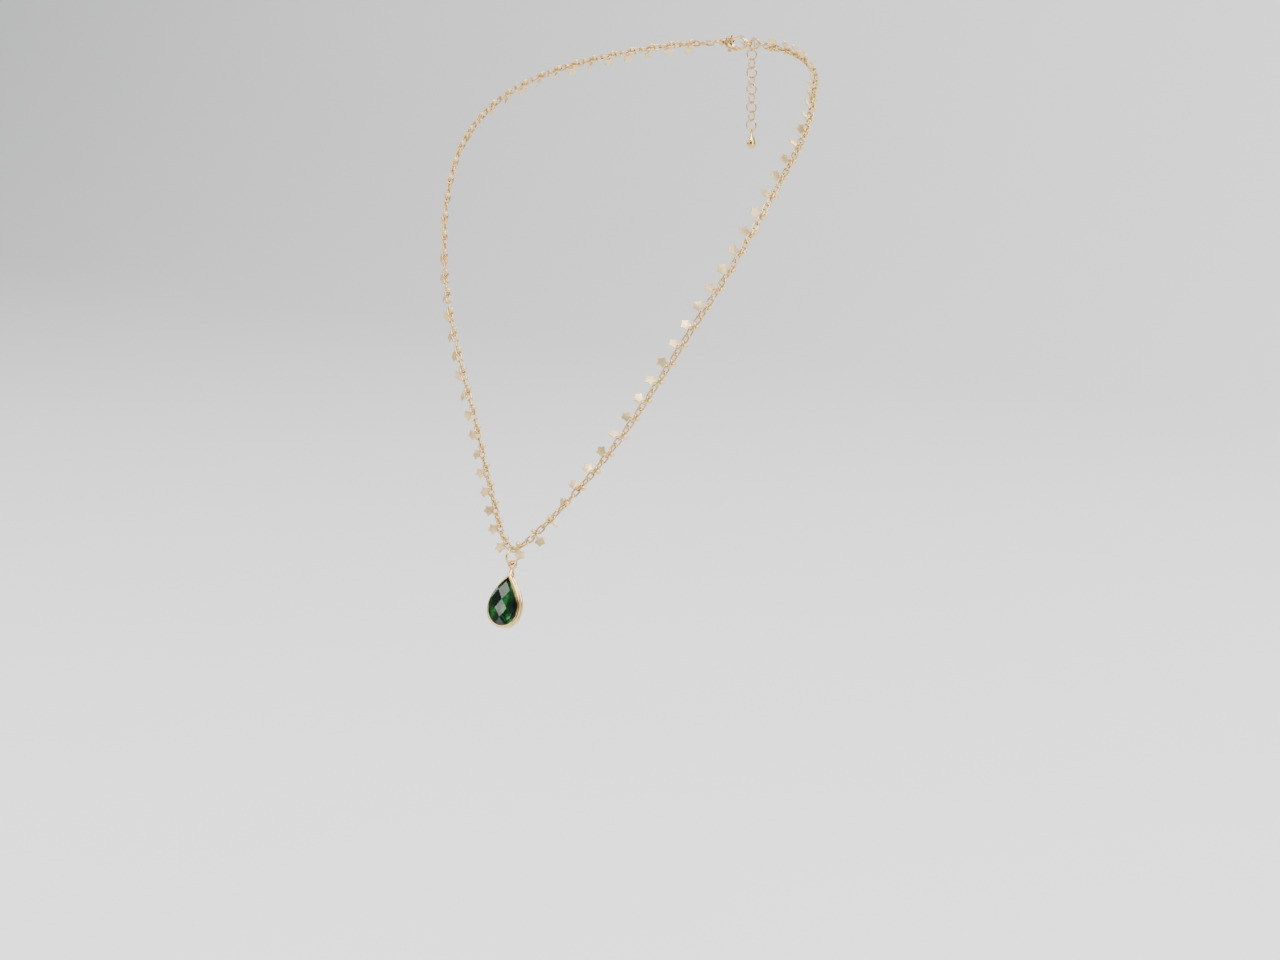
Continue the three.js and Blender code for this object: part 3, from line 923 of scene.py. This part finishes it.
def build_stone():
    """Checkerboard-cut pear: diamond facets over the crown and smaller ones underneath."""
    outline = pear_outline(STONE_INSET, STONE_SIDE_STEPS, STONE_ARC_STEPS)
    solid = bmesh.new()
    low = [solid.verts.new((p.x, p.y, CULET)) for p in outline]
    high = [solid.verts.new((p.x, p.y, CROWN_TOP + CROWN_SPARE)) for p in outline]
    solid.faces.new(reversed(low))
    solid.faces.new(high)
    for i in range(len(outline)):
        after = (i + 1) % len(outline)
        solid.faces.new((low[i], low[after], high[after], high[i]))
    bmesh.ops.recalc_face_normals(solid, faces=solid.faces)
    for point, normal in facet_planes(CROWN_TOP, CROWN_FALL, CROWN_CELL, True):
        cut_by(solid, point, normal.normalized())
    for point, normal in facet_planes(CULET, PAVILION_FALL, PAVILION_CELL, False):
        cut_by(solid, point, normal.normalized())
    bmesh.ops.transform(solid, matrix=Matrix.Scale(MM, 4) @ PEAR, verts=solid.verts)
    mesh = bpy.data.meshes.new("faceted_stone")
    solid.to_mesh(mesh)
    solid.free()
    finish_piece("faceted_stone", mesh, "green_glass", "pendant", ["pear_stone"], smooth=False)


def band_ring(inner, outer, depth, bevel, sides):
    """A short tube round +Z with softened edges, as (vertices, faces)."""
    half = depth / 2
    nick = bevel * 0.3
    profile = [
        (inner + bevel, -half),
        (outer - bevel, -half),
        (outer - nick, -half + nick),
        (outer, -half + bevel),
        (outer, half - bevel),
        (outer - nick, half - nick),
        (outer - bevel, half),
        (inner + bevel, half),
        (inner + nick, half - nick),
        (inner, half - bevel),
        (inner, -half + bevel),
        (inner + nick, -half + nick),
    ]
    vertices = []
    for side in range(sides):
        turn = 2 * math.pi * side / sides
        for radius, z in profile:
            vertices.append(Vector((radius * math.cos(turn), radius * math.sin(turn), z)))
    return vertices, grid_faces(sides, len(profile), wrap_rings=True)


def build_bail():
    """The loop on the tip of the bezel, and the solder that spreads out under it."""
    lift = Vector((0, PEAR_CENTRE_DROP, BEZEL_DEPTH / 2))
    loop = band_ring(LOOP_HOLE, LOOP_RADIUS, LOOP_DEPTH, LOOP_BEVEL, sides=48)
    tip = -BEZEL_TOP_DROP
    under = -LOOP_HOLE - LOOP_FOOT_GAP
    foot = [
        (0, tip - 0.95),
        (1.02, tip - 0.95),
        (1.12, tip - 0.8),
        (1.04, tip - 0.3),
        (0.86, tip + 0.15),
        (0.68, tip + 0.55),
        (0.62, under - 0.2),
        (0.6, under),
        (0, under),
    ]
    whole = fused(loop, turned_to_y(lathed(foot, sides=32)))
    place = PEAR @ Matrix.Translation(lift)
    single(whole, place, "bail", "bezel_gold", "pendant", ["bail_loop"])


def build_jump_ring():
    """The pendant's split ring, edge-on to the front and turned a little aside."""
    side_on = (
        Matrix.Translation(V_BOTTOM - Vector((0, 0, RING_DROP)))
        @ Matrix.Rotation(-RING_YAW, 4, "Z")
        @ Matrix.Rotation(math.pi / 2, 4, "Y")
    )
    wire = flat_ring(circle(RING_RADIUS, 72, RING_OPENING), RING_WIRE * 2, 16, gap_cut=True)
    place = side_on @ Matrix.Rotation(RING_SPLIT_TURN, 4, "Z")
    single(wire, place, "jump_ring_wire", "bezel_gold", "jump_ring", ["pendant_jump_ring"])


def build_pendant():
    build_jump_ring()
    build_bail()
    for shape, name, slot, node in (
        (swept_pear(BEZEL_PROFILE), "bezel", "bezel_gold", "bezel_wall"),
        (plate(*BACK_PLATE), "bezel_back", "bezel_gold", "bezel_back_plate"),
        (plate(*FOIL_PLATE), "foil", "stone_foil", "stone_foil"),
    ):
        single(shape, PEAR, name, slot, "pendant", [node], angle=40)
    build_stone()


# ------------------------------------------------------------------ nape group


def ring_piece(name, node, radius, wire, normal, turn):
    """A round jump ring in the place of its CAD node, its cut turned by turn degrees."""
    low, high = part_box(node)
    centre = (low + high) / 2 / MM
    toward = Vector(normal)
    across = Vector((1, 0, 0)) if abs(toward.x) < 0.5 else Vector((0, 1, 0))
    place = basis(across, toward.cross(across), toward, centre)
    shape = flat_ring(circle(radius, 48, SMALL_RING_OPENING), wire * 2, 12, gap_cut=True)
    turned = place @ Matrix.Rotation(math.radians(turn), 4, "Z")
    single(shape, turned, name, "chain_gold", "nape_chain", [node])


def ellipse(centre_x, half_length, half_height, steps=56):
    turns = [2 * math.pi * i / steps for i in range(steps)]
    return [
        Vector((centre_x + half_length * math.cos(t), half_height * math.sin(t))) for t in turns
    ]


def disc(centre, radius, steps=32):
    turns = [2 * math.pi * i / steps for i in range(steps)]
    return [centre + Vector((math.cos(t), math.sin(t))) * radius for t in turns]


def rectangle(x, y, width, height):
    corners = ((-1, -1), (1, -1), (1, 1), (-1, 1))
    return [Vector((x + i * width / 2, y + j * height / 2)) for i, j in corners]


CLASP_PLACE = Matrix.Translation((CLASP_X, 0, 0)) @ Matrix.Rotation(math.pi / 2, 4, "X")


def clasp_piece(name, shape, node, slot="bezel_gold", body="nape_chain"):
    single(shape, CLASP_PLACE, name, slot, body, [node], angle=40)


def straight_cut(outline, half):
    """A cutter with practically square edges."""
    return slab(outline, half, CUT_BEVEL, 1)


def clasp_body(rivet_hole):
    """A rounded claw with an open throat and mouth, and room for the trigger."""
    blank = fused(
        slab(ellipse(0, *CLAW), CLAW_HALF, CLAW_BEVEL, 5),
        slab(disc(EYE, EYE_RADIUS), EYE_HALF, EYE_BEVEL, 4),
        slab(disc(RIVET, CHEEK_RADIUS), CLAW_HALF, CHEEK_BEVEL),
    )
    return carved(
        blank,
        slab(ellipse(THROAT_X, *THROAT), CLAW_HALF, THROAT_BEVEL, 5),
        straight_cut(rectangle(*MOUTH), CLAW_HALF * 2),
        *[straight_cut(rectangle(*slot), TRIGGER_SLOT_HALF) for slot in TRIGGER_SLOTS],
        slab(disc(EYE, EYE_HOLE), EYE_HALF, EYE_HOLE_BEVEL, 4),
        rivet_hole,
    )


def clasp_rivet():
    """A pin with a low domed head on each side of the claw."""
    head = CLAW_HALF + RIVET_PROUD
    shoulder, rise = RIVET_SHOULDER
    dome = [(shoulder, head + rise), (RIVET_RADIUS, head)]
    foot = (0, -head - RIVET_DOME)
    profile = [foot, *[(r, -z) for r, z in dome], *dome[::-1], (0, head + RIVET_DOME)]
    vertices, faces = lathed(profile, sides=24)
    return [v + Vector((*RIVET, 0)) for v in vertices], faces


def build_clasp():
    """A lobster clasp: the claw, a trigger on its rivet, and a leaf spring."""
    rivet_hole = straight_cut(disc(RIVET, RIVET_RADIUS + RIVET_GAP), CLAW_HALF * 2)
    clasp_piece("lobster_body", clasp_body(rivet_hole), "clasp_body")
    corners = [Vector(point) for point in TRIGGER_OUTLINE]
    lever = slab(softened(corners, [TRIGGER_SOFT] * len(corners)), TRIGGER_HALF, TRIGGER_BEVEL)
    trigger = carved(lever, rivet_hole)
    clasp_piece("lobster_trigger", trigger, "clasp_trigger", body="clasp_trigger")
    clasp_piece("lobster_rivet", clasp_rivet(), "clasp_rivet")
    leaf = slab(softened(rectangle(*SPRING_BOX), [SPRING_SOFT] * 4), TRIGGER_HALF, SPRING_BEVEL)
    clasp_piece("lobster_spring", leaf, "clasp_spring", "spring_steel")


def tail_ring(shell, number, lift):
    """One ring of the extender's tail; every other ring is turned edge-on."""
    turn = Matrix.Rotation(math.pi / 2, 4, "X" if number % 2 else "Y")
    place = Matrix.Translation(TAIL_TOP + Vector((0, 0, lift - number * TAIL_PITCH)))
    seam = Matrix.Rotation(number * TAIL_SEAM_STEP, 4, "Z")
    wire = flat_ring(circle(TAIL_RADIUS, 44, SMALL_RING_OPENING), TAIL_WIRE * 2, 12, gap_cut=True)
    shell.add(*wire, place @ turn @ seam)


def teardrop():
    """The drop that weighs the tail down, with its eyelet, below the last ring's centre."""
    top = -EXTENDER_RADIUS - EXTENDER_WIRE - DROP_GAP
    vertices, faces = flat_ring(circle(EYELET_RADIUS, 28), EYELET_WIRE, 12)
    place = Matrix.Translation((0, 0, top + EYELET_RISE)) @ Matrix.Rotation(math.pi / 2, 4, "Y")
    drop = lathed([(r, z + top) for r, z in DROP_PROFILE], sides=32)
    return fused(drop, ([place @ v for v in vertices], faces))


def build_extender():
    """The hanging tail in two halves of five rings, and the drop at its end."""
    lift = TAIL_PITCH - TAIL_JOINT_PITCH
    for half, first, raised in (("upper", 0, 0), ("lower", TAIL_RINGS, lift)):
        shell = Shell()
        for number in range(first, first + TAIL_RINGS):
            tail_ring(shell, number, raised)
        body = f"extender_{half}"
        rings = shell.piece(f"extender_rings_{half}", "chain_gold", body, [f"extender_tail_{half}"])
        auto_smooth(rings, 50)
    last = TAIL_TOP + Vector((0, 0, lift - (2 * TAIL_RINGS - 1) * TAIL_PITCH))
    place = Matrix.Translation(last)
    nodes = ["extender_drop"]
    single(teardrop(), place, "extender_teardrop", "bezel_gold", "extender_lower", nodes)


def build_nape():
    flat = (0, 0, 1)
    ring_piece("left_end_jump_ring", "left_end_ring", END_RING_RADIUS, END_RING_WIRE, flat, 40)
    ring_piece("right_end_jump_ring", "right_end_ring", END_RING_RADIUS, END_RING_WIRE, flat, -130)
    ring_piece("hooked_ring", "extender_link_1", EXTENDER_RADIUS, EXTENDER_WIRE, flat, 20)
    ring_piece("second_ring", "extender_link_2", EXTENDER_RADIUS, EXTENDER_WIRE, (0, 1, 0), 75)
    build_clasp()
    build_extender()


# ------------------------------------------------------------------ camera, light and stage

CAMERA_AZIMUTH = math.radians(32)
CAMERA_RISE = math.radians(13)
CAMERA_DISTANCE = 1000
CAMERA_ASIDE = 37.4
CAMERA_ABOVE = 20.35
CAMERA_LENS = 95.9
CAMERA_SENSOR = 36

# From here on, metres and watts.
STAGE_HALF = 3.0
STAGE_WALL_Y = 0.9
STAGE_BEND = 0.35
STAGE_BEND_STEPS = 12
FLOOR_DROP = 0.3
PAPER_COLOUR = (0.86, 0.86, 0.85)
PAPER_ROUGHNESS = 0.8
SKY_COLOUR = (0.85, 0.9, 1, 1)
SKY_STRENGTH = 0.26
LIGHT_TARGET = Vector((0, -0.08, -0.07))

# Name, place, width and height, and power of each soft light.
LIGHTS = (
    ("key", (0.45, -0.9, 0.95), (0.9, 0.7), 26),
    ("fill", (1.05, -0.35, 0.15), (0.7, 1.1), 10),
    ("side", (-1.05, -0.2, 0.5), (0.7, 1.0), 9),
    ("top", (0, -0.1, 1.2), (1.3, 1.0), 16),
    ("back", (0.35, 0.8, 0.55), (0.7, 0.5), 8),
    ("strip", (-0.57, -0.96, 0.24), (0.3, 0.62), 3),
)


def build_camera():
    right = Vector((math.cos(CAMERA_AZIMUTH), math.sin(CAMERA_AZIMUTH), 0))
    back = Vector(
        (
            math.sin(CAMERA_AZIMUTH) * math.cos(CAMERA_RISE),
            -math.cos(CAMERA_AZIMUTH) * math.cos(CAMERA_RISE),
            math.sin(CAMERA_RISE),
        )
    )
    up = back.cross(right)
    place = V_BOTTOM + right * CAMERA_ASIDE + up * CAMERA_ABOVE + back * CAMERA_DISTANCE
    data = bpy.data.cameras.new("camera")
    data.lens = CAMERA_LENS
    data.sensor_width = CAMERA_SENSOR
    data.clip_start = 0.01
    camera = bpy.data.objects.new("camera", data)
    camera.matrix_world = basis(right, up, back, place * MM)
    bpy.context.scene.collection.objects.link(camera)
    bpy.context.scene.camera = camera


def build_light(name, place, size, power):
    data = bpy.data.lights.new(name, "AREA")
    data.shape = "RECTANGLE"
    data.size, data.size_y = size
    data.energy = power
    light = bpy.data.objects.new(name, data)
    light.location = place
    light.visible_camera = False
    aim = LIGHT_TARGET - Vector(place)
    light.rotation_euler = aim.to_track_quat("-Z", "Y").to_euler()
    bpy.context.scene.collection.objects.link(light)


def build_sweep():
    """A floor that bends up into the wall behind."""
    profile = [(-STAGE_HALF, 0)]
    for i in range(STAGE_BEND_STEPS + 1):
        turn = math.pi / 2 * i / STAGE_BEND_STEPS
        rise = STAGE_BEND * (1 - math.cos(turn))
        profile.append((STAGE_WALL_Y + STAGE_BEND * math.sin(turn), rise))
    profile.append((STAGE_WALL_Y + STAGE_BEND, STAGE_HALF))
    vertices = [(x, y, z - FLOOR_DROP) for y, z in profile for x in (-STAGE_HALF, STAGE_HALF)]
    faces = [(2 * i, 2 * i + 1, 2 * i + 3, 2 * i + 2) for i in range(len(profile) - 1)]
    mesh = bpy.data.meshes.new("sweep")
    mesh.from_pydata(vertices, [], faces)
    mesh.materials.append(paper("stage_paper", PAPER_COLOUR, PAPER_ROUGHNESS))
    mesh.polygons.foreach_set("use_smooth", [True] * len(mesh.polygons))
    sweep = bpy.data.objects.new("sweep", mesh)
    bpy.context.scene.collection.objects.link(sweep)


def build_sky():
    world = bpy.data.worlds.new("studio")
    world.use_nodes = True
    background = world.node_tree.nodes["Background"]
    background.inputs["Color"].default_value = SKY_COLOUR
    background.inputs["Strength"].default_value = SKY_STRENGTH
    bpy.context.scene.world = world


build_camera()
for side in (1, -1):
    build_chain(side)
build_centre_link()
build_pendant()
build_nape()
build_sweep()
build_sky()
for light in LIGHTS:
    build_light(*light)
